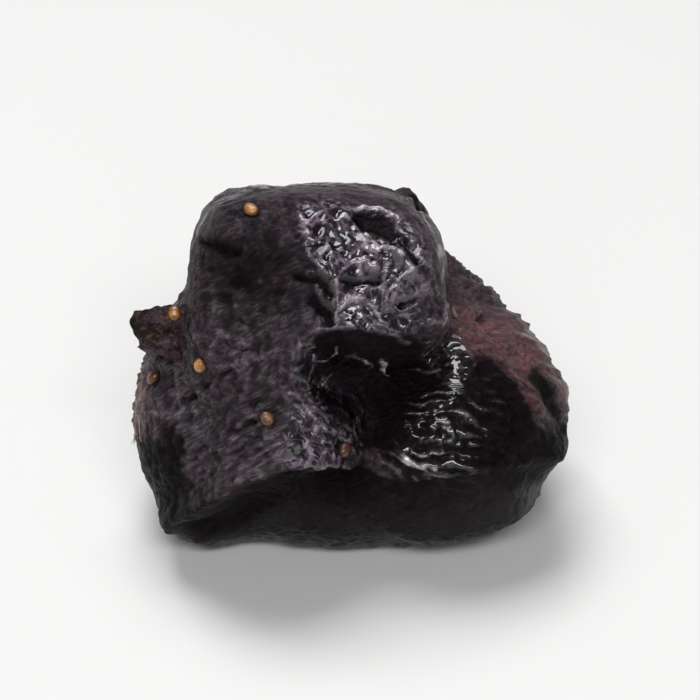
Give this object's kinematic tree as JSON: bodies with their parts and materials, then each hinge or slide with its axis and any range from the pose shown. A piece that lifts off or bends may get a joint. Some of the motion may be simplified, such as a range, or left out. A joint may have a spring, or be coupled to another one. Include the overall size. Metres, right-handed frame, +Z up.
{
  "type": "fig",
  "caption": "Soft-dried dark fig, shrivelled into folds, with a blunt knob, a swollen side lobe, a short stalk stub and seeds clinging to its sticky skin.",
  "frame": {"origin": "on the surface the fig rests on, under the middle of its outer box", "axes": "+Z up; +X from the stalk stub towards the eye, along the longest side of the fig; -Y is the front, where the skin apron slopes down"},
  "size_m": [0.0467, 0.0375, 0.041],
  "materials": {
    "fig_skin": "satin",
    "stalk": "matte",
    "seed": "satin"
  },
  "bodies": {
    "root": {"fig": "fig_skin", "stem_stub": "stalk", "seed_1": "seed", "seed_2": "seed", "seed_3": "seed", "seed_4": "seed", "seed_5": "seed", "seed_6": "seed"}
  },
  "joints": []
}
